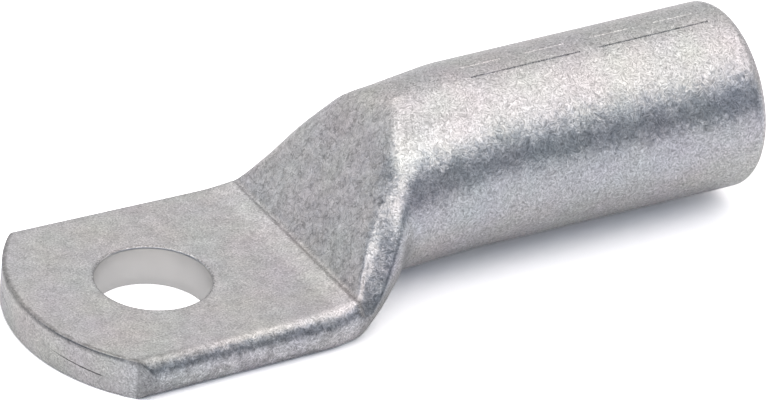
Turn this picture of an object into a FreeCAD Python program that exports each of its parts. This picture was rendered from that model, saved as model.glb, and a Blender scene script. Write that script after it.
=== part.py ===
"""Compression cable lug: one piece of tinned copper tube, pressed flat at one end.

Frame: the origin is the centre of the bolt hole on the palm's underside, which is the
contact face. +X runs along the lug to the mouth of the barrel, +Z is up. Millimetres.
"""

import FreeCAD, Part
import math
import os
import Sketcher

Vector = FreeCAD.Vector
# How a sketch's constraints number the points of a curve, the sketch's own origin and its axis
START_INDEX, END_INDEX, CENTRE_INDEX = 1, 2, 3
ORIGIN_INDEX = (-1, 1)
Y_AXIS_INDEX = -2

# Driving dimensions
SIZES = {
    "hole_dia": 13.0,
    "hole_chamfer": 0.3,
    "tip_distance": 16.0,
    "tip_radius": 21.0,
    "tip_corner_radius": 1.8,
    "palm_thickness": 4.8,
    "palm_width": 32.2,
    "palm_neck_width": 30.7,
    "palm_bulge": 0.5,
    "palm_end": 14.0,
    "ramp_start": 14.5,
    "ramp_angle": 8.0,
    "crease_distance": 18.2,
    "crease_depth": 0.25,
    "crease_width": 0.5,
    "incline_angle": 59.5,
    "shoulder_radius": 10.0,
    "ridge_radius": 1.2,
    "neck_end": 38.0,
    "barrel_dia": 21.0,
    "barrel_lift": 0.95,
    "mouth_distance": 72.0,
    "mouth_round": 1.4,
    "bore_dia": 15.5,
    "bore_depth": 33.0,
    "bore_chamfer": 0.5,
    "slit_distance": 20.0,
    "slit_width": 20.0,
    "slit_height": 0.5,
    "mark_width": 0.3,
    "mark_depth": 0.2,
    "mark_row_offset": 1.1,
    "mark_start": 38.2,
    "long_mark": 14.0,
    "long_mark_pitch": 16.4,
    "short_mark": 5.0,
    "short_mark_pitch": 8.2,
    "seam_height": 0.2,
    "seam_depth": 0.4,
    "seam_length": 25.0,
}
LONG_MARKS = 2
SHORT_MARKS = 4

# Sections between a flat end and a round end, as shares of the way from one to the other:
# where the section stands, its width, its top and its roundness
NECK_FORM = [
    (0.167, 0.08, 0.06, 0.05),
    (0.292, 0.31, 0.30, 0.28),
    (0.417, 0.63, 0.68, 0.61),
    (0.542, 0.99, 0.92, 0.88),
    (0.667, 1.00, 0.94, 0.92),
    (0.812, 1.00, 0.97, 0.96),
]
CAVITY_FORM = [
    (0.16, 0.18, 0.32, 0.29),
    (0.37, 0.85, 0.78, 0.75),
    (0.63, 0.97, 0.97, 0.95),
]
# Height of the arch that a pressed face has before the die flattens it
ARCH = 0.1
# Room that a cutter's sketch leaves round the metal
CLEAR = 3.0
# How far the hollow's round end is let into the bore, and the step it leaves there
CAVITY_OVERLAP = 1.0
CAVITY_STEP = 0.05
# How closely the neck's last section, a spline, follows the barrel's circle
SPLINE_FIT = 0.001
# Points that a section's spline has in each quarter, and distance between sections
QUARTER_POINTS = 10
SECTION_STEP = 1.0


def value(name):
    """A size as it stands in the sheet."""
    return float(sheet.get(name))


def make_sheet():
    table = doc.addObject("Spreadsheet::Sheet", "Dimensions")
    for row, (name, number) in enumerate(SIZES.items(), start=1):
        table.set("A%d" % row, name)
        table.set("B%d" % row, str(number))
        table.setAlias("B%d" % row, name)
    doc.recompute()
    return table


def quarter(inset, radius, rise):
    """Points of a four-arc oval from its top to its side, evenly spaced, about the side's centre."""
    if inset < ARCH or rise - radius < 1e-6:
        crown_radius, crown_angle = rise, 0.0
    else:
        crown_radius = (inset**2 + rise**2 - radius**2) / (2 * (rise - radius))
        crown_angle = math.atan2(inset, crown_radius - rise)
    crown_length = crown_radius * crown_angle
    side_length = radius * (math.pi / 2 - crown_angle)
    points = []
    for step in range(QUARTER_POINTS):
        run = (crown_length + side_length) * step / QUARTER_POINTS
        if run < crown_length:
            angle = run / crown_radius
            points.append((crown_radius * math.sin(angle), rise - crown_radius * (1 - math.cos(angle))))
        else:
            angle = crown_angle + (run - crown_length) / radius
            points.append((inset + radius * math.sin(angle), radius * math.cos(angle)))
    points.append((inset + radius, 0.0))
    return points


def oval_wire(place, half_width, radius, height, top, bottom):
    """A closed spline across the lug: the form of a tube on its way to being flat."""
    inset = half_width - radius
    above = quarter(inset, radius, top - height)
    below = quarter(inset, radius, height - bottom)
    outline = [(-y, height + z) for y, z in above]
    outline += [(-y, height - z) for y, z in reversed(below[:-1])]
    outline += [(y, height - z) for y, z in below[1:]]
    outline += [(y, height + z) for y, z in reversed(above[1:-1])]
    curve = Part.BSplineCurve()
    curve.interpolate(Points=[Vector(place, y, z) for y, z in outline], PeriodicFlag=True)
    return Part.Wire([curve.toShape()])


def blend(flat, full, share):
    return flat + (full - flat) * share


def ease(table, column, along):
    """A share read from a form at some way along, on a smooth curve that never turns back."""
    rows = [(0.0,) * 4] + table + [(1.0,) * 4]
    ways = [row[0] for row in rows]
    shares = [row[column] for row in rows]
    rates = [(shares[k + 1] - shares[k]) / (ways[k + 1] - ways[k]) for k in range(len(rows) - 1)]
    slopes = [0.0]
    for before, after in zip(rates, rates[1:]):
        slopes.append(2 * before * after / (before + after) if before * after > 0 else 0.0)
    slopes.append(0.0)
    k = max(index for index in range(len(rates)) if ways[index] <= along)
    length = ways[k + 1] - ways[k]
    part = (along - ways[k]) / length
    start_weight = (1 + 2 * part) * (1 - part) ** 2
    end_weight = part**2 * (3 - 2 * part)
    bend = length * part * (1 - part) * (slopes[k] * (1 - part) - slopes[k + 1] * part)
    return shares[k] * start_weight + shares[k + 1] * end_weight + bend


def form_wires(start, end, form, flat, full):
    """Sections at even steps from a flat end to a round end."""
    count = round((end - start) / SECTION_STEP)
    wires = []
    for number in range(count + 1):
        along = number / count
        narrowing, rise, rounding = [ease(form, column, along) for column in (1, 2, 3)]
        shares = {"half_width": narrowing, "top": rise}
        sizes = {key: blend(flat[key], full[key], shares.get(key, rounding)) for key in flat}
        wires.append(oval_wire(blend(start, end, along), **sizes))
    return wires


def round_sizes(radius, height):
    return {
        "half_width": radius,
        "radius": radius,
        "height": height,
        "top": height + radius,
        "bottom": height - radius,
    }


def closed_solid(skins, ends):
    """A solid from skins that meet edge to edge, and the faces of its two end wires."""
    faces = [face for skin in skins for face in skin.Faces] + [Part.Face(wire) for wire in ends]
    shell = Part.Shell(faces)
    shell.sewShape()
    return Part.Solid(shell)


def pressed_tube():
    """The tube with its palm and neck pressed, before the dies' flat faces and the trimming."""
    thickness = value("palm_thickness")
    swell = value("palm_bulge") + ARCH
    flat = {
        "half_width": value("palm_neck_width") / 2,
        "radius": thickness / 2 + value("palm_bulge"),
        "height": thickness / 2,
        "top": thickness + swell,
        "bottom": -swell,
    }
    barrel_radius = value("barrel_dia") / 2
    axis_height = value("barrel_lift") + barrel_radius
    full = round_sizes(barrel_radius, axis_height)
    tip_sizes = dict(flat, half_width=value("palm_width") / 2)
    tip = oval_wire(-value("tip_distance") - CLEAR, **tip_sizes)
    neck_end = value("neck_end")
    neck = form_wires(value("palm_end"), neck_end, NECK_FORM, flat, full)
    palm_skin = Part.makeLoft([tip, neck[0]], False, True)
    neck_skin = Part.makeLoft(neck, False, False)
    pressed = closed_solid([palm_skin, neck_skin], [tip, neck[-1]])
    barrel_length = value("mouth_distance") - neck_end
    start = Vector(neck_end, 0, axis_height)
    barrel = Part.makeCylinder(barrel_radius, barrel_length, start, Vector(1, 0, 0))
    return pressed.fuse([barrel], SPLINE_FIT)


def neck_cavity():
    """The hollow of the tube where it closes, from the round bore to the slit it ends in."""
    thickness = value("palm_thickness")
    slit = {
        "half_width": value("slit_width") / 2,
        "radius": value("slit_height") / 2,
        "height": thickness / 2,
        "top": (thickness + value("slit_height") + ARCH) / 2,
        "bottom": (thickness - value("slit_height") - ARCH) / 2,
    }
    axis_height = value("barrel_lift") + value("barrel_dia") / 2
    bore = round_sizes(value("bore_dia") / 2 - CAVITY_STEP, axis_height)
    bore_end = value("mouth_distance") - value("bore_depth") + CAVITY_OVERLAP
    wires = form_wires(value("slit_distance"), bore_end, CAVITY_FORM, slit, bore)
    return closed_solid([Part.makeLoft(wires, False, False)], [wires[0], wires[-1]])


def origin_part(role):
    """A plane or an axis of the body's own origin."""
    for feature in body.Origin.OriginFeatures:
        if feature.Role == role:
            return feature
    raise ValueError(role)


def make_sketch(name, role, offset=None):
    """A sketch on an origin plane, or parallel to it at the distance of an expression."""
    sketch = body.newObject("Sketcher::SketchObject", name)
    sketch.AttachmentSupport = (origin_part(role), "")
    sketch.MapMode = "FlatFace"
    if offset is not None:
        sketch.setExpression("AttachmentOffset.Base.z", offset)
    return sketch


def solve(expression):
    """The number that an expression of the sheet comes to."""
    return float(sheet.evalExpression(expression.replace("Dimensions.", "")))


def bind(sketch, name, constraint, expression):
    """A named dimension of a sketch that follows an expression."""
    index = sketch.addConstraint(constraint)
    sketch.renameConstraint(index, name)
    sketch.setExpression("Constraints." + name, expression)


def hold(sketch, name, curve, end, x, y):
    """A point of a sketch held by expressions for its place across and up."""
    across = Sketcher.Constraint("DistanceX", *ORIGIN_INDEX, curve, end, solve(x))
    bind(sketch, name + "_across", across, x)
    up = Sketcher.Constraint("DistanceY", *ORIGIN_INDEX, curve, end, solve(y))
    bind(sketch, name + "_up", up, y)


def chain(sketch, points, name="point"):
    """Straight lines from point to point, each point held by two expressions."""
    corners = [Vector(solve(x), solve(y), 0) for x, y in points]
    lines = []
    for one, other in zip(corners, corners[1:]):
        lines.append(sketch.addGeometry(Part.LineSegment(one, other)))
    for one, other in zip(lines, lines[1:]):
        sketch.addConstraint(Sketcher.Constraint("Coincident", one, END_INDEX, other, START_INDEX))
    for number, (line, (x, y)) in enumerate(zip(lines, points)):
        hold(sketch, "%s_%d" % (name, number), line, START_INDEX, x, y)
    hold(sketch, "%s_%d" % (name, len(lines)), lines[-1], END_INDEX, *points[-1])
    return lines


def join(sketch, one, one_end, other, other_end):
    sketch.addConstraint(Sketcher.Constraint("Coincident", one, one_end, other, other_end))


def circle_sketch(name, role, dia, offset=None, height=None):
    """A circle about an axis at some height."""
    sketch = make_sketch(name, role, offset)
    centre = Vector(0, solve(height) if height else 0.0, 0)
    ring = sketch.addGeometry(Part.Circle(centre, Vector(0, 0, 1), value(dia) / 2))
    size = Sketcher.Constraint("Diameter", ring, value(dia))
    bind(sketch, "dia", size, "Dimensions." + dia)
    if height is None:
        join(sketch, ring, CENTRE_INDEX, *ORIGIN_INDEX)
    else:
        sketch.addConstraint(Sketcher.Constraint("PointOnObject", ring, CENTRE_INDEX, Y_AXIS_INDEX))
        up = Sketcher.Constraint("DistanceY", *ORIGIN_INDEX, ring, CENTRE_INDEX, centre.y)
        bind(sketch, "height", up, height)
    return sketch


def rectangle_sketch(name, role, left, right, low, high, offset=None):
    """A rectangle between four expressions."""
    sketch = make_sketch(name, role, offset)
    lines = chain(sketch, [(left, low), (right, low), (right, high), (left, high)])
    corners = Vector(solve(left), solve(high), 0), Vector(solve(left), solve(low), 0)
    closing = sketch.addGeometry(Part.LineSegment(*corners))
    join(sketch, lines[-1], END_INDEX, closing, START_INDEX)
    join(sketch, closing, END_INDEX, lines[0], START_INDEX)
    return sketch


def pocket(name, sketch, length=None, both_sides=False):
    """A cut of a sketch, through everything or to a depth that an expression gives."""
    feature = body.newObject("PartDesign::Pocket", name)
    feature.Profile = sketch
    if both_sides:
        feature.SideType = "Symmetric"
    if length is None:
        feature.Type = "ThroughAll"
    else:
        feature.setExpression("Length", length)
    doc.recompute()
    return feature


def row_of(name, feature, pitch, count):
    """Copies of a cut along the lug."""
    pattern = body.newObject("PartDesign::LinearPattern", name)
    pattern.Originals = [feature]
    pattern.Direction = (origin_part("X_Axis"), [""])
    pattern.Occurrences = count
    pattern.setExpression("Length", "Dimensions.%s * %d" % (pitch, count - 1))
    body.Tip = pattern
    doc.recompute()
    return pattern


def dress(kind, name, size, test):
    """A fillet or a chamfer on the edges that pass a test."""
    base = body.Tip
    edges = enumerate(base.Shape.Edges, start=1)
    names = ["Edge%d" % number for number, edge in edges if test(edge)]
    if not names:
        raise ValueError(name + " finds no edge")
    feature = body.newObject("PartDesign::" + kind, name)
    feature.Base = (base, names)
    feature.setExpression("Radius" if kind == "Fillet" else "Size", "Dimensions." + size)
    doc.recompute()
    return feature


def die_sketch():
    """The upper die, seen from the side: flat palm, ramp, crease, incline and round shoulder."""
    ramp = "Dimensions.palm_thickness + (%s - Dimensions.ramp_start) * tan(Dimensions.ramp_angle)"
    fold_start = "Dimensions.crease_distance - Dimensions.crease_width"
    fold_top = ramp % ("(" + fold_start + ")")
    fold = fold_top + " - Dimensions.crease_depth"
    crown = "Dimensions.barrel_lift + Dimensions.barrel_dia"
    behind = "-Dimensions.tip_distance - %g" % (2 * CLEAR)
    roof = crown + " + %g" % CLEAR
    run = "(%s - (%s)) / tan(Dimensions.incline_angle)" % (crown, fold)
    meeting = "Dimensions.crease_distance + " + run
    tangent = "Dimensions.shoulder_radius * tan(Dimensions.incline_angle / 2)"
    shoulder_end = "%s + %s" % (meeting, tangent)
    shoulder_start = "%s - %s * cos(Dimensions.incline_angle)" % (meeting, tangent)
    shoulder_foot = "%s - %s * sin(Dimensions.incline_angle)" % (crown, tangent)
    sketch = make_sketch("upper_die_sketch", "XZ_Plane")
    points = [
        (shoulder_end, crown),
        (shoulder_end, roof),
        (behind, roof),
        (behind, "Dimensions.palm_thickness"),
        ("Dimensions.ramp_start", "Dimensions.palm_thickness"),
        (fold_start, fold_top),
        ("Dimensions.crease_distance", fold),
        (shoulder_start, shoulder_foot),
    ]
    lines = chain(sketch, points)
    centre = (solve(shoulder_end), solve(crown) - value("shoulder_radius"))
    span = (90, 90 + value("incline_angle"))
    round_side(sketch, "shoulder", centre, "Dimensions.shoulder_radius", span, lines[0], lines[-1])
    return sketch


def round_side(sketch, name, centre, radius, span, start_line, end_line, ends=(START_INDEX, END_INDEX)):
    """An arc that goes on an outline from an end of one line, to an end of another if there is one."""
    circle = Part.Circle(Vector(centre[0], centre[1], 0), Vector(0, 0, 1), solve(radius))
    first, last = [math.radians(angle) for angle in span]
    side = sketch.addGeometry(Part.ArcOfCircle(circle, first, last))
    join(sketch, side, START_INDEX, start_line, ends[0])
    if end_line is not None:
        join(sketch, side, END_INDEX, end_line, ends[1])
    bind(sketch, name, Sketcher.Constraint("Radius", side, solve(radius)), radius)
    return side


def tip_place(radius, half):
    """The expression for how far along a circle about the tip's centre is, at some half width."""
    centre = "Dimensions.tip_radius - Dimensions.tip_distance"
    return "%s - sqrt((%s)^2 - (%s)^2)" % (centre, radius, half)


def tip_lean(radius, half):
    """The angle at which a circle about the tip's centre has some half width."""
    return math.degrees(math.asin(solve(half) / solve(radius)))


def tip_side(sketch, name, radius, half, start_line, end_line, ends):
    """An arc about the tip's centre, as a side of an outline."""
    centre = value("tip_radius") - value("tip_distance")
    lean = tip_lean(radius, half)
    span = (180 - lean, 180 + lean)
    round_side(sketch, name, (centre, 0), radius, span, start_line, end_line, ends)


def side_place(place):
    """The expression for the palm's half width at some place along its narrowing sides."""
    start = "(Dimensions.tip_distance + %g)" % CLEAR
    share = "(%s + %s) / (Dimensions.palm_end + %s)" % (place, start, start)
    taper = "(Dimensions.palm_width - Dimensions.palm_neck_width) / 2"
    return "Dimensions.palm_width / 2 - %s * %s" % (taper, share)


def tip_sketch():
    """What lies beyond the round tip and its rounded corner on the +Y side, seen from above."""
    sketch = make_sketch("tip_cut_sketch", "XY_Plane")
    half = "Dimensions.palm_width / 2"
    behind = "-Dimensions.tip_distance - %g" % (2 * CLEAR)
    corner = tip_place("Dimensions.tip_radius", half)
    side = side_place("(" + corner + ")")
    outside = side + " + %g" % CLEAR
    reach = "Dimensions.tip_radius - Dimensions.tip_corner_radius"
    middle = side + " - Dimensions.tip_corner_radius"
    round_start = tip_place(reach, middle)
    points = [(corner, "-" + half), (behind, "-" + half), (behind, outside)]
    points += [(round_start, outside), (round_start, side)]
    lines = chain(sketch, points)

    centre = "Dimensions.tip_radius - Dimensions.tip_distance"
    growth = "Dimensions.tip_radius / (%s)" % reach
    joint_along = "%s + (%s - (%s)) * %s" % (centre, round_start, centre, growth)
    joint_across = "(%s) * %s" % (middle, growth)
    lean = tip_lean(reach, middle)
    corner_centre = (solve(round_start), solve(middle))
    first = (lines[-1], None, (END_INDEX, None))
    rounding = round_side(sketch, "corner", corner_centre, "Dimensions.tip_corner_radius", (90, 180 - lean), *first)
    hold(sketch, "joint", rounding, END_INDEX, joint_along, joint_across)
    span = (180 - lean, 180 + tip_lean("Dimensions.tip_radius", half))
    last = (rounding, lines[0], (END_INDEX, START_INDEX))
    round_side(sketch, "tip", (solve(centre), 0), "Dimensions.tip_radius", span, *last)
    return sketch


def seam_sketch():
    """A thin slot in the tip's edge, where the two walls of the tube meet."""
    level = "(Dimensions.palm_thickness + Dimensions.seam_height) / 2"
    sketch = make_sketch("seam_sketch", "XY_Plane", level)
    half = "Dimensions.seam_length / 2"
    outer = "Dimensions.tip_radius + %g" % CLEAR
    inner = "Dimensions.tip_radius - Dimensions.seam_depth"
    outside, inside = tip_place(outer, half), tip_place(inner, half)
    near = chain(sketch, [(outside, "-" + half), (inside, "-" + half)], "near")[0]
    far = chain(sketch, [(inside, half), (outside, half)], "far")[0]
    tip_side(sketch, "outer", outer, half, far, near, (END_INDEX, START_INDEX))
    tip_side(sketch, "inner", inner, half, far, near, (START_INDEX, END_INDEX))
    return sketch


def rim_at_mouth(edge, dia):
    """Whether an edge is the rim of that diameter round the mouth."""
    box = edge.BoundBox
    return box.XMin > value("mouth_distance") - 0.01 and abs(box.YLength - value(dia)) < 0.1


def is_ridge(edge):
    """Whether an edge is a side of the pressed incline, between the crease and the crown."""
    box = edge.BoundBox
    is_on_neck = box.XMin > value("crease_distance") - 0.01 and box.XMax < value("neck_end") - 0.01
    is_outside = box.ZMax > value("barrel_lift") + value("barrel_dia") / 2
    return is_on_neck and is_outside and min(box.YLength, box.ZLength) > 1.0


def is_hole_rim(edge):
    """Whether an edge is the rim of the bolt hole on the palm's upper face."""
    box = edge.BoundBox
    is_upper = box.ZMin > value("palm_thickness") - 0.01
    return is_upper and max(abs(box.XLength - value("hole_dia")), abs(box.Center.x)) < 0.01


def mark_sketch(name, side):
    """One mark's outline, over the crown, on one side of its middle."""
    middle = "%d * Dimensions.mark_row_offset" % side
    low = middle + " - Dimensions.mark_width / 2"
    high = middle + " + Dimensions.mark_width / 2"
    start = "Dimensions.mark_start"
    end = "Dimensions.mark_start + Dimensions." + name
    crown = "Dimensions.barrel_lift + Dimensions.barrel_dia + %g" % CLEAR
    return rectangle_sketch(name + "_sketch", "XY_Plane", start, end, low, high, crown)


doc = FreeCAD.newDocument("cable_lug")
sheet = make_sheet()
tube = doc.addObject("Part::Feature", "pressed_tube")
tube.Shape = pressed_tube().cut(neck_cavity())
body = doc.addObject("PartDesign::Body", "cable_lug")
body.Label = "cable_lug"
body.BaseFeature = tube
doc.recompute()

# Bore and mouth of the barrel
axis_height = "Dimensions.barrel_lift + Dimensions.barrel_dia / 2"
bore = circle_sketch("bore_sketch", "YZ_Plane", "bore_dia", "Dimensions.mouth_distance", axis_height)
pocket("bore", bore, "Dimensions.bore_depth")
dress("Fillet", "mouth_rounding", "mouth_round", lambda edge: rim_at_mouth(edge, "barrel_dia"))
dress("Chamfer", "bore_chamfer", "bore_chamfer", lambda edge: rim_at_mouth(edge, "bore_dia"))

# Faces that the dies press flat
pocket("upper_die", die_sketch(), both_sides=True)
behind = "-Dimensions.tip_distance - %g" % (2 * CLEAR)
below = "-%g" % CLEAR
underside = rectangle_sketch("lower_die_sketch", "XZ_Plane", behind, "Dimensions.neck_end", below, "0")
pocket("lower_die", underside, both_sides=True)
dress("Fillet", "ridge_rounding", "ridge_radius", is_ridge)

# Tip, bolt hole and the closed seam of the flattened tube
pocket("tip_cut", tip_sketch(), both_sides=True)
pocket("bolt_hole", circle_sketch("bolt_hole_sketch", "XY_Plane", "hole_dia"), both_sides=True)
dress("Chamfer", "hole_chamfer", "hole_chamfer", is_hole_rim)
pocket("seam", seam_sketch(), "Dimensions.seam_height")

# Marks on the crown that say where to crimp: a row for wide dies, a row for narrow ones
mark_cut = "Dimensions.mark_depth + %g" % CLEAR
long_mark = pocket("long_mark", mark_sketch("long_mark", -1), mark_cut)
row_of("long_marks", long_mark, "long_mark_pitch", LONG_MARKS)
short_mark = pocket("short_mark", mark_sketch("short_mark", 1), mark_cut)
row_of("short_marks", short_mark, "short_mark_pitch", SHORT_MARKS)

failed = [item.Name for item in doc.Objects if {"Invalid", "Error"} & set(item.State)]
if failed:
    raise ValueError("failed: " + ", ".join(failed))
if body.Shape.isNull() or not body.Shape.isValid() or len(body.Shape.Solids) != 1:
    raise ValueError(body.Label + " is not one valid solid")
os.makedirs("parts", exist_ok=True)
body.Shape.exportStep("parts/%s.step" % body.Label)
print(body.Label, round(body.Shape.Volume), "mm3")
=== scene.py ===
"""Looks of a compression cable lug: tin-plated copper tube, pressed flat at one end."""

import itertools
import math
from types import SimpleNamespace

import bpy
import numpy as np
from mathutils import Matrix, Vector


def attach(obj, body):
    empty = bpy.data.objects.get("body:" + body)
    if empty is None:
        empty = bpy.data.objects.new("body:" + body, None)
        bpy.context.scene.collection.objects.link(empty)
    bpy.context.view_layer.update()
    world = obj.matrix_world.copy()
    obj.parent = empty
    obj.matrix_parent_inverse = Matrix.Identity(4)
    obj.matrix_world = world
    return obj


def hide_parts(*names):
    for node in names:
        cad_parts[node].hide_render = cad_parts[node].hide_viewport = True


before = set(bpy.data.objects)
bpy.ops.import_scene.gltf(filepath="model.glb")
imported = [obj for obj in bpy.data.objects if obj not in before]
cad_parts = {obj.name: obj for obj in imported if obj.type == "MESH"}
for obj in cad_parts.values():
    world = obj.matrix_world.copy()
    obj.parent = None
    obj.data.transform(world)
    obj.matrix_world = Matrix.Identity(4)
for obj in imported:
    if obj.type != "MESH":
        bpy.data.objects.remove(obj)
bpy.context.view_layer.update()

MM = 0.001

# Sizes of the lug in millimetres, in the frame of the part: origin under the bolt hole
PALM_THICKNESS = 4.8
TIP_DISTANCE, TIP_RADIUS = 16.0, 21.0
TIP_CENTRE = TIP_RADIUS - TIP_DISTANCE
TIP_HALF_WIDTH, PALM_HALF_WIDTH = 16.1, 15.35
TIP_WIRE_AT, PALM_END = -19.0, 14.0
PALM_SWELL, PALM_SIDE_RADIUS = 0.6, 2.9
RAMP_START, RAMP_RISE = 12.2, 0.45
CREASE_AT, CREASE_WIDTH, CREASE_DEPTH = 18.2, 0.5, 0.25
INCLINE_ANGLE, SHOULDER_RADIUS = math.radians(59.5), 10.0
NECK_END, MOUTH_AT = 38.0, 72.0
BARREL_RADIUS, BARREL_LIFT = 10.5, 0.95
MOUTH_ROUND = 1.4
BORE_RADIUS, BORE_DEPTH, BORE_CHAMFER = 7.75, 33.0, 0.5
SLIT_AT, SLIT_HALF_WIDTH, SLIT_HEIGHT, SLIT_SWELL = 20.0, 10.0, 0.5, 0.1
AXIS_HEIGHT = BARREL_LIFT + BARREL_RADIUS
CROWN = BARREL_LIFT + 2 * BARREL_RADIUS

# The bolt hole's broken upper edge is an arc up to a turn, then a straight flare
HOLE_RADIUS, HOLE_CHAMFER, HOLE_SIDES = 6.5, 0.3, 128
HOLE_TURN, HOLE_ARC_POINTS = math.radians(70), 6
FLARE_WIDTH, FLARE_HEIGHT = 1.0, 0.36

# The crimp marks: two rows, the short ones with a floor that rises away from the middle
MARK_WIDTH, MARK_DEPTH, MARK_ROW, MARK_START = 0.24, 0.16, 1.1, 38.2
LONG_MARK, LONG_PITCH, LONG_MARKS = 14.0, 16.4, 2
SHORT_MARK, SHORT_PITCH, SHORT_MARKS, SHORT_FAR_DEPTH = 5.0, 8.2, 4, 0.08

# How far cutters reach past the surface they cut
CUTTER_REACH = 1.0

# Way along the neck, then how far its width, top and roundness have gone from flat to round
NECK_FORM = [
    (0.167, 0.08, 0.06, 0.05),
    (0.292, 0.31, 0.30, 0.28),
    (0.417, 0.63, 0.68, 0.61),
    (0.542, 0.99, 0.92, 0.88),
    (0.667, 1.00, 0.94, 0.92),
    (0.812, 1.00, 0.97, 0.96),
]
CAVITY_FORM = [
    (0.16, 0.18, 0.32, 0.29),
    (0.37, 0.85, 0.78, 0.75),
    (0.63, 0.97, 0.97, 0.95),
]

# The upper die: how far its face is blurred along, from how many samples, and how high it stays
# off the barrel
DIE_BLUR, DIE_SAMPLES, DIE_CLEARANCE = 0.2, 5, 5.0

# How soft the pressed edges are, and by the place along: how soft the ridge is on a steep wall,
# and how the die falls on the near side, per fourth power of the distance across
EDGE_SOFT = 0.28
RIDGE_SOFT = [(18.2, 0.28), (21.3, 0.28), (23.0, 0.9), (24.5, 1.8), (27.0, 2.8), (29.0, 3.5)]
NEAR_FALL = [(22.0, 0.0), (23.8, 0.00015), (25.0, 0.0003), (27.0, 0.0005), (29.0, 0.0006)]

# The near flank: by its place, how far across the ridge is, the flank's slope and how far it
# stands off the die there. It takes hold over a height above the middle of the palm.
FLANK = [
    (17.0, 14.3, 1.6, 3.0),
    (18.4, 13.3, 1.6, 0.8),
    (19.7, 11.7, 1.55, 0.45),
    (20.7, 10.6, 1.45, 0.35),
    (22.3, 9.0, 1.2, 0.35),
    (23.2, 8.1, 1.0, 0.45),
    (24.7, 6.9, 0.85, 0.8),
    (26.0, 6.2, 0.8, 1.5),
    (27.5, 5.4, 0.8, 2.6),
    (30.0, 5.0, 0.8, 4.5),
]
FLANK_SOFT, FLANK_RISE = 1.8, 2.0

# The tip: its rounded edges and corners, and the seam, which opens and falls away from the middle
TIP_ROUND = 0.35
NEAR_CORNER_ROUND, FAR_CORNER_ROUND = 0.6, 1.8
SEAM_DEPTH, SEAM_HALF_HEIGHT, SEAM_FALL = 0.2, 0.05, 0.6
SEAM_START, SEAM_OPEN, SEAM_CLOSES, SEAM_END = 4.0, 9.0, 11.0, 11.5

# The mesh: points in a quarter of a section and in all of it, where the palm's sections lie as
# shares of its length, levels down the tip's face, and steps along the rest
QUARTER = 64
AROUND = 4 * QUARTER
PALM_SHARES = np.concatenate([[0, 0.002, 0.005, 0.009, 0.014, 0.019], np.linspace(0.03, 1, 66)])
TIP_LEVELS = np.array([0.12, 0.3, 0.44, 0.486, 0.49, 0.5, 0.51, 0.514, 0.56, 0.7, 0.88])
NECK_STEPS, BARREL_STEPS, MOUTH_STEPS, BORE_STEPS, CAVITY_STEPS = 96, 33, 8, 8, 38
# A section with a smaller inset than this is taken as round, and edges from this angle are sharp
NEARLY_ROUND, SHARP_ANGLE = 0.1, math.radians(38)

# The tin: its colour and dullness, the cut metal in the hole, lighter partly as painted light, and
# how strong the grain is
TIN_COLOUR, TIN_ROUGHNESS, CLOUD_SHARE = (0.65, 0.645, 0.645), 0.34, 0.07
DULLER, SHINIER = TIN_ROUGHNESS + 0.05, TIN_ROUGHNESS - 0.04
HOLE_COLOUR, HOLE_TONE_WITH_PAINTED_LIGHT = (0.66, 0.657, 0.648), 1.14
CRYSTAL_TILT, PALM_TILT, SMALL_TILT = 0.1, 0.05, 0.8
GRAIN_HEIGHT = 0.017 * MM
SPECK_HEIGHT, PALM_GRAIN, SCRATCH_DEPTH = 0.5, 0.35, 0.4

# Noises and crystals of the tin, as a number to the millimetre
SWIRL_SCALE, CRYSTAL_SCALE, STROKE_SCALE = 0.9, 1.7, 6.0
SPECK_SCALE, BLOTCH_SCALE, MOTTLE_SCALE, CLOUD_SCALE = 4.6, 0.9, 0.6, 0.16
FOLD_SCALE, DOT_SCALE = 0.8, 0.8
SCRATCH_SCALE, SCRATCH_STRETCH, SCRATCH_RANGE = 1.6, (0.35, 5.0, 1.0), (0.62, 0.7)
CROSS_SCALE, CROSS_STRETCH, CROSS_RANGE = 1.4, (4.0, 0.4, 1.0), (0.64, 0.72)
# How much strokes are drawn out along their crystal, and how far apart two crystals' strokes lie
STROKE_STRETCH, CRYSTAL_SHIFT = 0.84, 20.0
DOT_RADIUS, DOT_RARITY = (0.11, 0.05), (0.8, 0.81)

# The range that most of a noise fills, and the tones it swings between: on the tube, palm, incline
NOISE_RANGE = (0.3, 0.7)
TUBE_STROKE, TUBE_SPECK, TUBE_MOTTLE = (0.6, 1.33), (0.86, 1.12), (0.95, 1.05)
PALM_STROKE, PALM_SPECK, PALM_MOTTLE = (0.8, 1.19), (0.77, 1.18), (0.89, 1.1)
INCLINE_STROKE = (0.74, 1.2)
# The same with a range of its own in front
INCLINE_BLOTCH, INCLINE_FOLD = (0.35, 0.65, 0.84, 1.16), (0.0, 0.03, 0.62, 1.04)

# Where the tin changes and where shade and light are painted on it: each pair is where a soft
# mask starts and where it is whole. First by the distance from the bolt hole's axis or from the
# tip's centre, to which the rim adds the height
HOLE_WALL = (HOLE_RADIUS + 0.12, HOLE_RADIUS + 0.02)
HOLE_RIM_STARTS = (HOLE_RADIUS + 0.03, HOLE_RADIUS + 0.1)
HOLE_RIM_ENDS = (HOLE_RADIUS + 0.42, HOLE_RADIUS + 0.2)
TIP_FACE = (TIP_RADIUS - 0.15, TIP_RADIUS - 0.05)
TIP_RIM = (TIP_RADIUS + PALM_THICKNESS - 0.2, TIP_RADIUS + PALM_THICKNESS + 0.15)
CORNER_STARTS = (TIP_RADIUS - 0.9, TIP_RADIUS - 0.3)
# Then by the place along
BEFORE_HOLE, PALM_ENDS, SIDE_ENDS = (-4.0, -6.0), (CREASE_AT, CREASE_AT - 1.5), (18.0, 12.0)
STRIP_STARTS, STRIP_ENDS = (14.6, 15.6), (17.75, 17.45)
CREASE_STARTS, CREASE_ENDS = (17.4, 17.8), (18.8, 18.2)
RIDGE_STARTS, RIDGE_ENDS = (17.4, 18.2), (24.0, 21.5)
INCLINE_STARTS, BROW_FADES = (17.5, 18.3), (6.0, -6.0)
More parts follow.
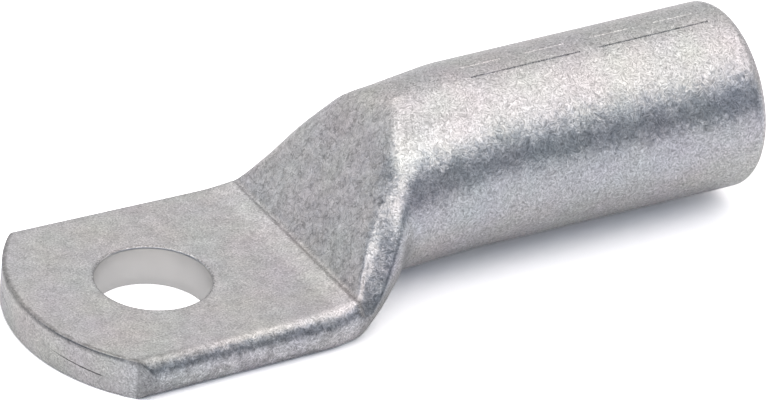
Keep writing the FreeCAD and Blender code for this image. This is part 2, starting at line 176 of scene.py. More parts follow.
# Then across and up
NEAR_EDGE, RIDGE_ACROSS = (-14.5, -14.7), (-10.8, -12.0)
BROW_ACROSS, BROW_UP = (-13.7, -14.3), (3.9, 4.3)
# Then by how much the surface faces up, across or towards the tip
LEVEL, ROUNDED, IN_FOLD = (0.93, 0.995), (0.95, 0.8), (0.2, 0.4)
SIDEWAYS, TOWARDS_TIP = (0.5, 0.75), (-0.5, -0.75)
# Last by a noise or another mask, with the two levels behind
CORNER_BLOTCH, BROW_BLOTCH = (0.36, 0.5, 0.3, 1.0), (0.3, 0.6, 1.0, 0.5)
CREASE_BLOTCH, PATCH_BLOTCH = (0.36, 0.6, 1.0, 0.35), (0.35, 0.62, 0.3, -0.12)
HOLE_RIM_SPECK, OFF_INCLINE = (0.4, 0.6, 1.0, 0.2), (0, 0.5, 1, 0)
# How far the tip's face counts as pressed flat, and how much blotches shift the tip's rim
TIP_PRESSED, RIM_BLOTCH = 0.8, 0.9

# How bright each place is against the plain tin. The ridge's end, rim, crease, corner and brow are
# painted shade, the strip is painted light
RIDGE_PAINTED_SHADE, DOT_SHADE, RIM_PAINTED_SHADE, STRIP_PAINTED_LIGHT = 0.74, 0.72, 0.58, 1.1
CREASE_PAINTED_SHADE, CORNER_PAINTED_SHADE, BROW_PAINTED_SHADE, HOLE_RIM_SHADE = 0.76, 0.62, 0.55, 0.6

# Studio light by the sine of the angle above the horizon: dark low in front, bright overhead
FRONT_LIGHT = [
    (0.0, 0.22),
    (0.1, 0.16),
    (0.36, 0.12),
    (0.5, 0.38),
    (0.66, 1.0),
    (0.8, 1.7),
    (0.92, 1.75),
    (1.0, 0.6),
]
BACK_LIGHT = [
    (0.0, 0.66),
    (0.36, 0.66),
    (0.52, 0.72),
    (0.71, 0.72),
    (0.78, 1.15),
    (0.84, 1.42),
    (0.93, 1.5),
    (1.0, 0.6),
]
WARM, COOL, NEUTRAL = (1.03, 0.995, 0.985, 1), (0.8, 0.96, 1.22, 1), (1.0, 0.99, 1.0, 1)
TOWARDS_CAMERA, FRONT_FADE, WARM_FADE = (-0.53, -0.848, 0.0), (-0.25, 0.35), (0.4, 0.8)
BACKDROP = (1, 1, 1, 1)

# The paper floor, in metres: as the camera sees it, as it lights the lug, and as the lug mirrors
# it, bluer in front of the lug as a painted reflection
HALF_FLOOR = 3.0
SEEN_PAPER, LIGHTING_PAPER = (1.9, 1.9, 1.9, 1), (0.8, 0.8, 0.8, 1)
MIRRORED_PAPER, FRONT_PAPER_PAINTED_REFLECTION = (0.88, 0.877, 0.88, 1), (0.83, 0.86, 0.92, 1)
PAPER_TURNS_BLUE = (-0.012, -0.022)

# Camera: a long lens from the front left, above
AZIMUTH, ELEVATION, ROLL = math.radians(32.07), math.radians(31.18), math.radians(4.48)
PIVOT, DISTANCE = Vector((0.027, 0, 0.008)), 2.0
SHIFT_RIGHT, SHIFT_UP = 1.662 * MM, 0.187 * MM
FOCAL_LENGTH, SENSOR_WIDTH, CLIP_END = 851.7, 36.0, 10.0


def ease(table, column, along):
    """A share read from a form at some way along, on a smooth curve that never turns back."""
    rows = [(0.0,) * 4] + table + [(1.0,) * 4]
    ways = [row[0] for row in rows]
    shares = [row[column] for row in rows]
    rates = [(shares[k + 1] - shares[k]) / (ways[k + 1] - ways[k]) for k in range(len(rows) - 1)]
    slopes = [0.0]
    for before, after in zip(rates, rates[1:]):
        slopes.append(2 * before * after / (before + after) if before * after > 0 else 0.0)
    slopes.append(0.0)
    k = max(index for index in range(len(rates)) if ways[index] <= along)
    length = ways[k + 1] - ways[k]
    part = (along - ways[k]) / length
    start_weight = (1 + 2 * part) * (1 - part) ** 2
    end_weight = part**2 * (3 - 2 * part)
    bend = length * part * (1 - part) * (slopes[k] * (1 - part) - slopes[k + 1] * part)
    return shares[k] * start_weight + shares[k + 1] * end_weight + bend


def quarter(inset, radius, rise):
    """Points of a four-arc oval from its top to its side, even, about the side's centre."""
    if inset < NEARLY_ROUND or rise - radius < 1e-6:
        crown_radius, crown_angle = rise, 0.0
    else:
        crown_radius = (inset**2 + rise**2 - radius**2) / (2 * (rise - radius))
        crown_angle = math.atan2(inset, crown_radius - rise)
    crown_length = crown_radius * crown_angle
    side_length = radius * (math.pi / 2 - crown_angle)
    run = (crown_length + side_length) * np.arange(QUARTER + 1) / QUARTER
    crown_turn = run / crown_radius
    side_turn = crown_angle + (run - crown_length) / radius
    on_crown = run < crown_length
    side_across = inset + radius * np.sin(side_turn)
    across = np.where(on_crown, crown_radius * np.sin(crown_turn), side_across)
    crown_up = rise - crown_radius * (1 - np.cos(crown_turn))
    up = np.where(on_crown, crown_up, radius * np.cos(side_turn))
    return across, up


def oval(half_width, radius, height, top, bottom):
    """A section of the pressed tube: across and up, from the top towards -Y and round."""
    inset = half_width - radius
    above_y, above_z = quarter(inset, radius, top - height)
    below_y, below_z = quarter(inset, radius, height - bottom)
    across = [-above_y[:-1], -below_y[:0:-1], below_y[:-1], above_y[:0:-1]]
    up = [above_z[:-1], -below_z[:0:-1], -below_z[:-1], above_z[:0:-1]]
    return np.concatenate(across), height + np.concatenate(up)


def round_form(radius):
    """The sizes of a round section on the barrel's axis."""
    sizes = {"half_width": radius, "radius": radius, "height": AXIS_HEIGHT}
    return dict(sizes, top=AXIS_HEIGHT + radius, bottom=AXIS_HEIGHT - radius)


FLAT_FORM = {
    "half_width": PALM_HALF_WIDTH,
    "radius": PALM_SIDE_RADIUS,
    "height": PALM_THICKNESS / 2,
    "top": PALM_THICKNESS + PALM_SWELL,
    "bottom": -PALM_SWELL,
}
SLIT_FORM = {
    "half_width": SLIT_HALF_WIDTH,
    "radius": SLIT_HEIGHT / 2,
    "height": PALM_THICKNESS / 2,
    "top": (PALM_THICKNESS + SLIT_HEIGHT + SLIT_SWELL) / 2,
    "bottom": (PALM_THICKNESS - SLIT_HEIGHT - SLIT_SWELL) / 2,
}


def between(flat, full, form, along):
    """The section's sizes at some way along from a flat form to a round one."""
    narrowing, rise, rounding = [ease(form, column, along) for column in (1, 2, 3)]
    shares = {"half_width": narrowing, "top": rise}
    return {key: flat[key] + (full[key] - flat[key]) * shares.get(key, rounding) for key in flat}


def die_height(place):
    """Height of the upper die's face along the lug: ramp, crease, incline and round shoulder."""
    fold_start = CREASE_AT - CREASE_WIDTH
    slope = math.tan(INCLINE_ANGLE)
    ramp_share = np.maximum(place - RAMP_START, 0) / (fold_start - RAMP_START)
    ramp = PALM_THICKNESS + RAMP_RISE * ramp_share**2
    fold_top = PALM_THICKNESS + RAMP_RISE
    fold = fold_top - CREASE_DEPTH
    fall = fold_top - (place - fold_start) / CREASE_WIDTH * CREASE_DEPTH
    incline = fold + (place - CREASE_AT) * slope
    tangent = SHOULDER_RADIUS * math.tan(INCLINE_ANGLE / 2)
    crown_start = CREASE_AT + (CROWN - fold) / slope + tangent
    arc_start = crown_start - tangent * (1 + math.cos(INCLINE_ANGLE))
    drop = np.sqrt(np.maximum(SHOULDER_RADIUS**2 - (crown_start - place) ** 2, 0))
    shoulder = CROWN - SHOULDER_RADIUS + drop
    parts = [place < fold_start, place < CREASE_AT, place < arc_start, place < crown_start]
    return np.select(parts, [ramp, fall, incline, shoulder], CROWN + DIE_CLEARANCE)


def soft_min(one, other, soft):
    """The lower of two heights, rounded where they cross."""
    share = np.clip(0.5 + (other - one) / (2 * soft), 0, 1)
    return other + (one - other) * share - soft * share * (1 - share)


def pressed(place, across, up):
    """Heights after pressing between the upper die and the flat one, softer on steep walls."""
    spread = np.linspace(-DIE_BLUR, DIE_BLUR, DIE_SAMPLES)
    die = np.mean([die_height(place + offset) for offset in spread], axis=0)
    die = die - np.interp(place, *zip(*NEAR_FALL)) * np.minimum(across, 0) ** 4
    run, rise = [np.roll(line, -1) - np.roll(line, 1) for line in (across, up)]
    steepness = np.abs(rise) / np.hypot(run, rise)
    soft = EDGE_SOFT + (np.interp(place, *zip(*RIDGE_SOFT)) - EDGE_SOFT) * steepness
    return -soft_min(-soft_min(up, die, soft), 0.0, EDGE_SOFT)


def palm_half_width(place):
    """Half the palm's width, which narrows evenly towards the neck."""
    share = (place - TIP_WIRE_AT) / (PALM_END - TIP_WIRE_AT)
    return TIP_HALF_WIDTH + (PALM_HALF_WIDTH - TIP_HALF_WIDTH) * share


def tip_edge(across):
    """How far along the round tip is, with its corners rounded."""
    edge = TIP_CENTRE - np.sqrt(TIP_RADIUS**2 - across**2)
    radius = np.where(across < 0, NEAR_CORNER_ROUND, FAR_CORNER_ROUND)
    corner = np.maximum(np.abs(across) - (TIP_HALF_WIDTH - radius), 0)
    return edge + radius - np.sqrt(np.maximum(radius**2 - corner**2, 0))


def palm_ring(share):
    """A section of the palm, at a share of the way from the round tip to the neck."""
    half_width = palm_half_width(-TIP_DISTANCE + (PALM_END + TIP_DISTANCE) * share)
    across, up = oval(**dict(FLAT_FORM, half_width=half_width))
    along = tip_edge(across) * (1 - share) + PALM_END * share
    across = across * palm_half_width(along) / half_width
    from_tip = np.clip(along - tip_edge(across), 0, TIP_ROUND)
    inset = TIP_ROUND - np.sqrt(TIP_ROUND**2 - (TIP_ROUND - from_tip) ** 2)
    up = pressed(along, across, up)
    middle = PALM_THICKNESS / 2
    return along, across, middle + (up - middle) * (1 - inset / middle)


def neck_ring(place):
    """A section of the pressed neck, with its near flank cut by a slanted plane."""
    along = (place - PALM_END) / (NECK_END - PALM_END)
    across, up = oval(**between(FLAT_FORM, round_form(BARREL_RADIUS), NECK_FORM, along))
    places = np.full_like(up, place)
    flank_places, *columns = zip(*FLANK)
    if flank_places[0] < place < flank_places[-1]:
        ridge, slope, lift = [np.interp(place, flank_places, column) for column in columns]
        flank = die_height(places) + lift + slope * (across + ridge)
        upper = np.clip((up - PALM_THICKNESS / 2) / FLANK_RISE, 0, 1)
        up = up + (soft_min(up, flank, FLANK_SOFT) - up) * upper
    return places, across, pressed(places, across, up)


def round_ring(place, radius):
    """A round section of the barrel or the bore."""
    across, up = oval(**round_form(radius))
    return np.full_like(up, place), across, up


def cavity_ring(place):
    """A section of the hollow that narrows from the bore to a slit."""
    along = (place - SLIT_AT) / (MOUTH_AT - BORE_DEPTH - SLIT_AT)
    across, up = oval(**between(SLIT_FORM, round_form(BORE_RADIUS), CAVITY_FORM, along))
    return np.full_like(up, place), across, up


def steps(start, end, count):
    """Values from a start to an end in even steps, without the start."""
    return np.linspace(start, end, count + 1)[1:]


def rings():
    """Sections from the tip over the outside to the mouth, and back through the bore."""
    round_start, chamfer_end = MOUTH_AT - MOUTH_ROUND, MOUTH_AT - BORE_CHAMFER
    bore_end = MOUTH_AT - BORE_DEPTH
    loops = [palm_ring(share) for share in PALM_SHARES]
    loops += [neck_ring(place) for place in steps(PALM_END, NECK_END, NECK_STEPS)]
    for place in steps(NECK_END, round_start, BARREL_STEPS):
        loops.append(round_ring(place, BARREL_RADIUS))
    for turn in steps(0, math.pi / 2, MOUTH_STEPS):
        place = MOUTH_AT - MOUTH_ROUND * (1 - math.sin(turn))
        loops.append(round_ring(place, BARREL_RADIUS - MOUTH_ROUND * (1 - math.cos(turn))))
    loops.append(round_ring(MOUTH_AT, BORE_RADIUS + BORE_CHAMFER))
    loops.append(round_ring(chamfer_end, BORE_RADIUS))
    loops += [round_ring(place, BORE_RADIUS) for place in steps(chamfer_end, bore_end, BORE_STEPS)]
    loops += [cavity_ring(place) for place in steps(bore_end, SLIT_AT, CAVITY_STEPS)]
    return loops


def new_mesh(name, points, faces):
    """A mesh from points in millimetres."""
    mesh = bpy.data.meshes.new(name)
    mesh.from_pydata(np.array(points) * MM, [], faces)
    return mesh


def ring_faces(rows, around):
    """Faces that join each ring of points to the next."""
    faces = []
    for row in range(rows - 1):
        here, there = row * around, (row + 1) * around
        for k in range(around):
            after = (k + 1) % around
            faces.append((here + k, here + after, there + after, there + k))
    return faces


def lug_mesh():
    """The lug as one closed mesh, before the bolt hole and the marks are cut."""
    loops = [np.stack(loop, axis=1) for loop in rings()]
    faces = ring_faces(len(loops), AROUND)
    last = (len(loops) - 1) * AROUND
    faces.append(tuple(last + k for k in range(AROUND)))
    tip_points, tip_faces = close_tip(loops[0], len(loops) * AROUND)
    return new_mesh("lug", np.concatenate(loops + [tip_points]), faces + tip_faces)


def close_tip(ring, count):
    """Points and faces of the tip's upright face within its ring, numbered from a count on."""
    columns = []
    points = []
    for turn in range(QUARTER, -QUARTER - 1, -1):
        over, under = turn % AROUND, (2 * QUARTER - turn) % AROUND
        if over == under:
            columns.append([over] * (len(TIP_LEVELS) + 2))
            continue
        start = count + len(points)
        columns.append([over, *range(start, start + len(TIP_LEVELS)), under])
        points.extend(tip_column(ring[over], ring[under]))
    faces = []
    for left, right in zip(columns, columns[1:]):
        for k in range(len(TIP_LEVELS) + 1):
            face = tuple(dict.fromkeys((left[k], right[k], right[k + 1], left[k + 1])))
            if len(face) > 2:
                faces.append(face)
    return np.array(points), faces


def tip_column(top, bottom):
    """Points down the tip's face, set back in the thin seam where the tube's two walls meet."""
    off_middle = abs(top[1])
    fall = np.interp(off_middle, [SEAM_START, SEAM_END], [0, SEAM_FALL]) / PALM_THICKNESS
    levels = TIP_LEVELS + fall * (1 - np.abs(2 * TIP_LEVELS - 1))
    column = top + (bottom - top) * levels[:, None]
    in_seam = np.abs(TIP_LEVELS - 0.5) * PALM_THICKNESS < SEAM_HALF_HEIGHT
    turning_points = [SEAM_START, SEAM_OPEN, SEAM_CLOSES, SEAM_END]
    column[:, 0] += SEAM_DEPTH * np.interp(off_middle, turning_points, [0, 1, 1, 0]) * in_seam
    return column


def box_mesh(low, high, name, far_rise):
    """A box between two corners, in millimetres, whose floor rises towards +Y."""
    corners = []
    for x, y, z in itertools.product(*zip(low, high)):
        corners.append((x, y, z + far_rise * (y == high[1] and z == low[2])))
    faces = [(0, 1, 3, 2), (4, 6, 7, 5), (0, 4, 5, 1), (2, 3, 7, 6), (0, 2, 6, 4), (1, 5, 7, 3)]
    return new_mesh(name, corners, faces)


def turned_mesh(profile, name, sides):
    """A solid turned about the upright axis from a profile of radius and height, in millimetres."""
    points = []
    turns = np.arange(sides) * 2 * math.pi / sides
    for radius, height in profile:
        points += [(radius * math.cos(turn), radius * math.sin(turn), height) for turn in turns]
    faces = ring_faces(len(profile), sides)
    faces.append(tuple(reversed(range(sides))))
    faces.append(tuple((len(profile) - 1) * sides + k for k in range(sides)))
    return new_mesh(name, points, faces)


def add_object(name, mesh):
    """A new object in the scene."""
    thing = bpy.data.objects.new(name, mesh)
    bpy.context.scene.collection.objects.link(thing)
    return thing


def hole_cutter():
    """The bolt hole with its broken upper edge."""
    profile = [(HOLE_RADIUS, -CUTTER_REACH)]
    for turn in np.linspace(0, HOLE_TURN, HOLE_ARC_POINTS):
        widening = HOLE_CHAMFER * (1 - math.cos(turn))
        height = PALM_THICKNESS - HOLE_CHAMFER * (1 - math.sin(turn))
        profile.append((HOLE_RADIUS + widening, height))
    profile.append((profile[-1][0] + FLARE_WIDTH, profile[-1][1] + FLARE_HEIGHT))
    return turned_mesh(profile, "bolt_hole", HOLE_SIDES)


def mark_cutters():
    """Thin boxes that cut the crimp marks into the crown."""
    low, high = CROWN - MARK_DEPTH, CROWN + CUTTER_REACH
    far_rise = MARK_DEPTH - SHORT_FAR_DEPTH
    cutters = []
    for middle, length, pitch, count, rise in (
        (-MARK_ROW, LONG_MARK, LONG_PITCH, LONG_MARKS, 0.0),
        (MARK_ROW, SHORT_MARK, SHORT_PITCH, SHORT_MARKS, far_rise),
    ):
        near, far = middle - MARK_WIDTH / 2, middle + MARK_WIDTH / 2
        for number in range(count):
            start = MARK_START + number * pitch
            cutters.append(box_mesh((start, near, low), (start + length, far, high), "mark", rise))
    return cutters


def cut(body, meshes):
    """Cuts other meshes out of a body, one by one."""
    for mesh in meshes:
        cutter = add_object("cutter", mesh)
        change = body.modifiers.new("cut", "BOOLEAN")
        change.operation = "DIFFERENCE"
        change.solver = "EXACT"
        change.object = cutter
        bpy.context.view_layer.update()
        evaluated = body.evaluated_get(bpy.context.evaluated_depsgraph_get())
        result = bpy.data.meshes.new_from_object(evaluated)
        body.modifiers.clear()
        body.data = result
        bpy.data.objects.remove(cutter)


lug = add_object("lug_finish", lug_mesh())
cut(lug, [hole_cutter()] + mark_cutters())
lug.data.shade_smooth()
lug.data.set_sharp_from_angle(angle=SHARP_ANGLE)
lug.data.name = "lug_finish"
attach(lug, "root")
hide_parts("cable_lug")


class Graph:
    """Short ways to add nodes to a data block's node tree."""

    def __init__(self, block):
        block.use_nodes = True
        self.tree = block.node_tree
        self.nodes = self.tree.nodes

    def link(self, source, target):
        self.tree.links.new(source, target)

    def feed(self, socket, source):
        """Links a socket to another one, or sets it to a plain value."""
        if isinstance(source, bpy.types.NodeSocket):
            self.link(source, socket)
        else:
            socket.default_value = source

    def feed_named(self, node, sources):
        for name, source in sources.items():
            self.feed(node.inputs[name], source)

    def operate(self, kind, operation, inputs):
        node = self.nodes.new(kind)
        node.operation = operation
        for socket, source in zip(node.inputs, inputs):
            self.feed(socket, source)
        return node

    def math(self, operation, *inputs):
        return self.operate("ShaderNodeMath", operation, inputs).outputs[0]

    def times(self, first, *others):
        """The product of all values, from the left."""
        for other in others:
            first = self.math("MULTIPLY", first, other)
        return first

    def rest(self, share):
        """What is missing from a share to one."""
        return self.math("SUBTRACT", 1.0, share)

    def vector(self, operation, *inputs):
        outputs = self.operate("ShaderNodeVectorMath", operation, inputs).outputs
        return outputs["Value" if operation in ("DOT_PRODUCT", "LENGTH") else "Vector"]

    def scaled(self, source, factor):
        node = self.operate("ShaderNodeVectorMath", "SCALE", [source])
        self.feed(node.inputs["Scale"], factor)
        return node.outputs["Vector"]

    def level_length(self, source):
        """The length of a vector as seen from above."""
        return self.vector("LENGTH", self.vector("MULTIPLY", source, (1, 1, 0)))

    def parts(self, source):
        node = self.nodes.new("ShaderNodeSeparateXYZ")
        self.link(source, node.inputs[0])
        return node.outputs

    def noise(self, place, scale, detail, roughness=0.5):
        node = self.nodes.new("ShaderNodeTexNoise")
        sizes = {"Vector": place, "Scale": scale, "Detail": detail, "Roughness": roughness}
        self.feed_named(node, sizes)
        return node.outputs

    def cells(self, place, scale):
        node = self.nodes.new("ShaderNodeTexVoronoi")
        self.feed_named(node, {"Vector": place, "Scale": scale})
        return node.outputs

    def remap(self, source, low, high, to_low=0.0, to_high=1.0, smooth=False):
        """A value brought from one range to another and kept within it."""
        node = self.nodes.new("ShaderNodeMapRange")
        node.interpolation_type = "SMOOTHSTEP" if smooth else "LINEAR"
        ends = {"From Min": low, "From Max": high, "To Min": to_low, "To Max": to_high}
        self.feed_named(node, {"Value": source, **ends})
        return node.outputs["Result"]

    def blend(self, share, start, end):
        """A number that a share moves from a start to an end."""
        return self.remap(share, 0, 1, start, end)

    def swing(self, noise, levels):
        """A noise brought to two levels."""
        return self.remap(noise, *NOISE_RANGE, *levels)

    def shaded(self, tone, mask, shade):
        """A tone times a shade where a mask says so."""
        return self.times(tone, self.blend(mask, 1.0, shade))

    def mix(self, share, one, other):
        node = self.nodes.new("ShaderNodeMix")
        node.data_type = "RGBA"
        self.feed_named(node, {"Factor": share, "A": one, "B": other})
        return next(socket for socket in node.outputs if socket.type == "RGBA")

    def ramp(self, source, stops):
        """A grey level that follows a list of places and levels."""
        node = self.nodes.new("ShaderNodeValToRGB")
        elements = node.color_ramp.elements
        while len(elements) < len(stops):
            elements.new(0.5)
        for element, (place, level) in zip(elements, stops):
            element.position = place
            element.color = (level, level, level, 1)
        self.feed(node.inputs["Fac"], source)
        return node.outputs["Color"]

    def bump(self, height, distance, normal):
        node = self.nodes.new("ShaderNodeBump")
        self.feed_named(node, {"Height": height, "Distance": distance, "Normal": normal})
        return node.outputs["Normal"]


def tin_grain(graph, place):
    """The tin's noises: crystals that each lean their own way, with strokes, and scratches."""
    swirl = graph.noise(place, SWIRL_SCALE, detail=1.0)["Color"]
    bent = graph.vector("ADD", place, swirl)
    cell = graph.cells(bent, CRYSTAL_SCALE)["Color"]
    middle = (0.5, 0.5, 0.5)
    crystal = graph.vector("SUBTRACT", cell, middle)
    lean = graph.vector("NORMALIZE", crystal)
    run = graph.times(graph.vector("DOT_PRODUCT", bent, lean), STROKE_STRETCH)
    squeezed = graph.vector("SUBTRACT", bent, graph.scaled(lean, run))
    own_place = graph.vector("ADD", squeezed, graph.scaled(cell, CRYSTAL_SHIFT))
    small = graph.vector("SUBTRACT", graph.cells(place, SPECK_SCALE)["Color"], middle)
    fold = graph.math("SUBTRACT", graph.noise(bent, FOLD_SCALE, detail=3.0)["Fac"], 0.5)
    dots = graph.cells(place, DOT_SCALE)
    is_dot = graph.remap(graph.parts(dots["Color"])[0], *DOT_RARITY)
    along_lug = graph.vector("MULTIPLY", bent, SCRATCH_STRETCH)
    across_lug = graph.vector("MULTIPLY", bent, CROSS_STRETCH)
    scratch = graph.noise(along_lug, SCRATCH_SCALE, detail=3.0)["Fac"]
    cross = graph.noise(across_lug, CROSS_SCALE, detail=3.0)["Fac"]
    scratches = graph.remap(scratch, *SCRATCH_RANGE), graph.remap(cross, *CROSS_RANGE)
    return SimpleNamespace(
        lean=graph.vector("ADD", crystal, graph.scaled(small, SMALL_TILT)),
        stroke=graph.noise(own_place, STROKE_SCALE, detail=1.0)["Fac"],
        speck=graph.noise(place, SPECK_SCALE, detail=2.0, roughness=0.6)["Fac"],
        blotch=graph.noise(place, BLOTCH_SCALE, detail=3.0, roughness=0.65)["Fac"],
        mottle=graph.noise(place, MOTTLE_SCALE, detail=4.0, roughness=0.62)["Fac"],
        cloud=graph.noise(place, CLOUD_SCALE, detail=2.0)["Color"],
        fold=graph.math("ABSOLUTE", fold),
        dot=graph.times(graph.remap(dots["Distance"], *DOT_RADIUS), is_dot),
        scratch=graph.math("ADD", *scratches),
    )


def tin_masks(graph, place, facing, grain):
    """Masks from 0 to 1 that say which part of the lug a point lies on, and where shade and light
    are painted.
    """
    along, across, up = graph.parts(place)
    facing_along, facing_across, facing_up = graph.parts(facing)
    from_hole = graph.level_length(place)
    from_centre = graph.level_length(graph.vector("SUBTRACT", place, (TIP_CENTRE, 0, 0)))
    before_hole = graph.remap(along, *BEFORE_HOLE)
    in_hole = graph.remap(from_hole, *HOLE_WALL)
    on_tip = graph.times(graph.remap(from_centre, *TIP_FACE), before_hole)
    on_palm = graph.remap(along, *PALM_ENDS, smooth=True)
    level_palm = graph.times(on_palm, graph.remap(facing_up, *LEVEL, smooth=True))
    flat = graph.math("MAXIMUM", level_palm, graph.times(on_tip, TIP_PRESSED))

    out_and_up = graph.math("ADD", from_centre, up)
    from_rim = graph.math("ADD", out_and_up, graph.times(grain.blotch, RIM_BLOTCH))
    # Painted shade: dark blotches on the near corner's rounded edge
    corner = graph.times(
        graph.remap(from_centre, *CORNER_STARTS),
        graph.remap(facing_up, *ROUNDED),
        graph.remap(across, *NEAR_EDGE),
        graph.remap(grain.blotch, *CORNER_BLOTCH),
    )
    # Painted shade: dims the near side's top edge towards the tip
    brow_painted_shade = graph.times(
        graph.remap(across, *BROW_ACROSS),
        graph.remap(up, *BROW_UP),
        graph.remap(along, *BROW_FADES),
        graph.remap(grain.blotch, *BROW_BLOTCH),
    )
    incline = graph.times(
        graph.remap(facing_along, *TOWARDS_TIP), graph.remap(along, *INCLINE_STARTS)
    )
    # Painted shade in the crease
    crease_painted_shade = graph.times(
        graph.remap(along, *CREASE_STARTS),
        graph.remap(along, *CREASE_ENDS),
        graph.remap(grain.blotch, *CREASE_BLOTCH),
        graph.remap(facing_up, *IN_FOLD),
    )
    # Painted shade: the near flank darkened where the ridge runs low, off the incline
    ridge_end_painted_shade = graph.times(
        graph.remap(along, *RIDGE_STARTS),
        graph.remap(along, *RIDGE_ENDS),
        graph.times(graph.remap(across, *RIDGE_ACROSS), graph.remap(incline, *OFF_INCLINE)),
    )
    side = graph.times(
        graph.remap(graph.math("ABSOLUTE", facing_across), *SIDEWAYS),
        graph.remap(along, *SIDE_ENDS),
        graph.rest(on_tip),
    )
    hole_rim = graph.times(
        graph.remap(from_hole, *HOLE_RIM_STARTS),
        graph.remap(from_hole, *HOLE_RIM_ENDS),
        graph.remap(grain.speck, *HOLE_RIM_SPECK),
    )
    return SimpleNamespace(
        hole=in_hole,
        plated=graph.rest(in_hole),
        flat=flat,
        tube=graph.rest(flat),
        # Painted shade along the tip's rounded top edge
        rim_painted_shade=graph.times(graph.remap(from_rim, *TIP_RIM), before_hole),
        # Painted light: a lighter strip on the palm before the crease
        strip=graph.times(graph.remap(along, *STRIP_STARTS), graph.remap(along, *STRIP_ENDS)),
        corner=corner,
        brow_painted_shade=brow_painted_shade,
        incline=incline,
        crease_painted_shade=crease_painted_shade,
        ridge_end_painted_shade=ridge_end_painted_shade,
        side=side,
        hole_rim=hole_rim,
    )


def tin_normal(graph, grain, masks):
    """The normal, leaning with each crystal and roughened by strokes, specks and scratches."""
    amount = graph.times(graph.blend(masks.tube, PALM_TILT, CRYSTAL_TILT), masks.plated)
    normal = graph.nodes.new("ShaderNodeNewGeometry").outputs["Normal"]
    normal = graph.vector("ADD", normal, graph.scaled(grain.lean, amount))
    normal = graph.vector("NORMALIZE", normal)
    height = graph.math("ADD", grain.stroke, graph.times(grain.speck, SPECK_HEIGHT))
    height = graph.times(height, graph.blend(masks.tube, PALM_GRAIN, 1.0))
    scored = graph.times(grain.scratch, graph.blend(masks.tube, -SCRATCH_DEPTH, 0.0))
    height = graph.times(graph.math("ADD", height, scored), masks.plated)
    return graph.bump(height, GRAIN_HEIGHT, normal)


def tin_tone(graph, grain, masks):
    """How bright the tin is, by its noises and by the part of the lug, with painted shade and
    painted light on some parts.
    """
    tone = graph.times(
        graph.swing(grain.stroke, TUBE_STROKE),
        graph.swing(grain.speck, TUBE_SPECK),
        graph.swing(grain.mottle, TUBE_MOTTLE),
    )
    incline_tone = graph.times(
        graph.swing(grain.stroke, INCLINE_STROKE),
        graph.remap(grain.blotch, *INCLINE_BLOTCH),
        graph.remap(grain.fold, *INCLINE_FOLD),
    )
    change = graph.math("SUBTRACT", incline_tone, tone)
    tone = graph.math("ADD", tone, graph.times(masks.incline, change))
    # Painted shade at the ridge's end
    tone = graph.shaded(tone, masks.ridge_end_painted_shade, RIDGE_PAINTED_SHADE)
    palm_tone = graph.times(
        graph.swing(grain.speck, PALM_SPECK),
        graph.swing(grain.mottle, PALM_MOTTLE),
        graph.blend(grain.dot, 1.0, DOT_SHADE),
        graph.swing(grain.stroke, PALM_STROKE),
    )
    palm_share = graph.times(palm_tone, masks.flat)
    tone = graph.math("ADD", graph.times(tone, masks.tube), palm_share)
    # Painted shade on the tip's rim, the crease, the near corner and the brow; painted light on the
    # strip
    for mask, shade in (
        (masks.rim_painted_shade, RIM_PAINTED_SHADE),
        (masks.strip, STRIP_PAINTED_LIGHT),
        (masks.crease_painted_shade, CREASE_PAINTED_SHADE),
        (masks.corner, CORNER_PAINTED_SHADE),
        (masks.brow_painted_shade, BROW_PAINTED_SHADE),
    ):
        tone = graph.shaded(tone, mask, shade)
    patches = graph.times(masks.side, graph.remap(grain.blotch, *PATCH_BLOTCH))
    tone = graph.times(tone, graph.rest(patches))
    tone = graph.shaded(tone, masks.hole_rim, HOLE_RIM_SHADE)
    tone = graph.times(tone, masks.plated)
    # The hole's cut metal, lighter partly as painted light
    return graph.math("ADD", tone, graph.times(HOLE_TONE_WITH_PAINTED_LIGHT, masks.hole))


def tin_plate():
    """Dull tin over copper: short bright crystals on the tube, smoother where dies pressed."""
    material = bpy.data.materials.new("tin_plate")
    graph = Graph(material)
    shader = graph.nodes["Principled BSDF"].inputs
    # The plain colour and dullness stand where nodes aren't read
    shader["Base Color"].default_value = (*TIN_COLOUR, 1)
    shader["Metallic"].default_value = 1.0
    shader["Roughness"].default_value = TIN_ROUGHNESS

    texture = graph.nodes.new("ShaderNodeTexCoord").outputs
    place = graph.scaled(texture["Object"], 1 / MM)
    grain = tin_grain(graph, place)
    masks = tin_masks(graph, place, texture["Normal"], grain)
    tint = graph.mix(CLOUD_SHARE, (*TIN_COLOUR, 1), grain.cloud)
    tint = graph.mix(masks.hole, tint, (*HOLE_COLOUR, 1))
    graph.link(graph.scaled(tint, tin_tone(graph, grain, masks)), shader["Base Color"])
    graph.link(graph.swing(grain.mottle, (SHINIER, DULLER)), shader["Roughness"])
    graph.link(tin_normal(graph, grain, masks), shader["Normal"])
    return material


lug.data.materials.clear()
lug.data.materials.append(tin_plate())


def studio_world():
    """Light all round the lug: soft, with a dark low front, and white where the camera looks."""
    world = bpy.data.worlds.new("studio")
    graph = Graph(world)
    direction = graph.nodes.new("ShaderNodeTexCoord").outputs["Generated"]
    height = graph.parts(direction)[2]
    frontness = graph.vector("DOT_PRODUCT", direction, TOWARDS_CAMERA)
    in_front = graph.remap(frontness, *FRONT_FADE, smooth=True)
    level = graph.mix(in_front, graph.ramp(height, BACK_LIGHT), graph.ramp(height, FRONT_LIGHT))
    high_up = graph.remap(height, *WARM_FADE, smooth=True)
    tint = graph.mix(high_up, graph.mix(in_front, NEUTRAL, COOL), WARM)
    level = graph.vector("MULTIPLY", level, tint)
    seen = graph.nodes.new("ShaderNodeLightPath").outputs["Is Camera Ray"]
    graph.link(graph.mix(seen, level, BACKDROP), graph.nodes["Background"].inputs["Color"])
    return world


bpy.context.scene.world = studio_world()


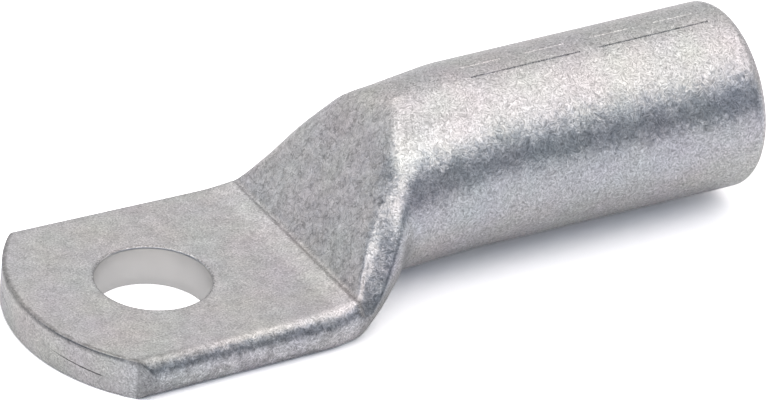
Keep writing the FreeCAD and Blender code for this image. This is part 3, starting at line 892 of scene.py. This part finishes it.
def paper():
    """Matte white paper that looks different to the camera, to the light and in the lug."""
    material = bpy.data.materials.new("paper")
    graph = Graph(material)
    matte = graph.nodes.new("ShaderNodeBsdfDiffuse")
    rays = graph.nodes.new("ShaderNodeLightPath").outputs
    forward = graph.parts(graph.nodes.new("ShaderNodeTexCoord").outputs["Object"])[1]
    # Painted reflection: the paper turns bluer in front of the lug only where the lug mirrors it
    in_front = graph.remap(forward, *PAPER_TURNS_BLUE)
    mirrored = graph.mix(in_front, MIRRORED_PAPER, FRONT_PAPER_PAINTED_REFLECTION)
    colour = graph.mix(rays["Is Glossy Ray"], LIGHTING_PAPER, mirrored)
    graph.link(graph.mix(rays["Is Camera Ray"], colour, SEEN_PAPER), matte.inputs["Color"])
    graph.link(matte.outputs[0], graph.nodes["Material Output"].inputs["Surface"])
    return material


def floor_mesh():
    """A large square of floor."""
    mesh = bpy.data.meshes.new("floor")
    signs = [(-1, -1), (1, -1), (1, 1), (-1, 1)]
    mesh.from_pydata([(x * HALF_FLOOR, y * HALF_FLOOR, 0) for x, y in signs], [], [(0, 1, 2, 3)])
    return mesh


floor = add_object("floor", floor_mesh())
floor.data.materials.append(paper())


def aim_camera():
    """The camera that sees the lug as the photograph does."""
    level_right = Vector((math.cos(AZIMUTH), -math.sin(AZIMUTH), 0))
    level = math.cos(ELEVATION)
    back = Vector((-math.sin(AZIMUTH) * level, -math.cos(AZIMUTH) * level, math.sin(ELEVATION)))
    level_up = back.cross(level_right)
    right = math.cos(ROLL) * level_right + math.sin(ROLL) * level_up
    up = -math.sin(ROLL) * level_right + math.cos(ROLL) * level_up
    place = PIVOT + DISTANCE * back + SHIFT_RIGHT * right + SHIFT_UP * up
    lens = bpy.data.cameras.new("camera")
    lens.lens = FOCAL_LENGTH
    lens.sensor_width = SENSOR_WIDTH
    lens.clip_end = CLIP_END
    camera = add_object("camera", lens)
    turn = Matrix((right, up, back)).transposed()
    camera.matrix_world = Matrix.Translation(place) @ turn.to_4x4()
    return camera


bpy.context.scene.camera = aim_camera()
bpy.context.scene.view_settings.view_transform = "Standard"
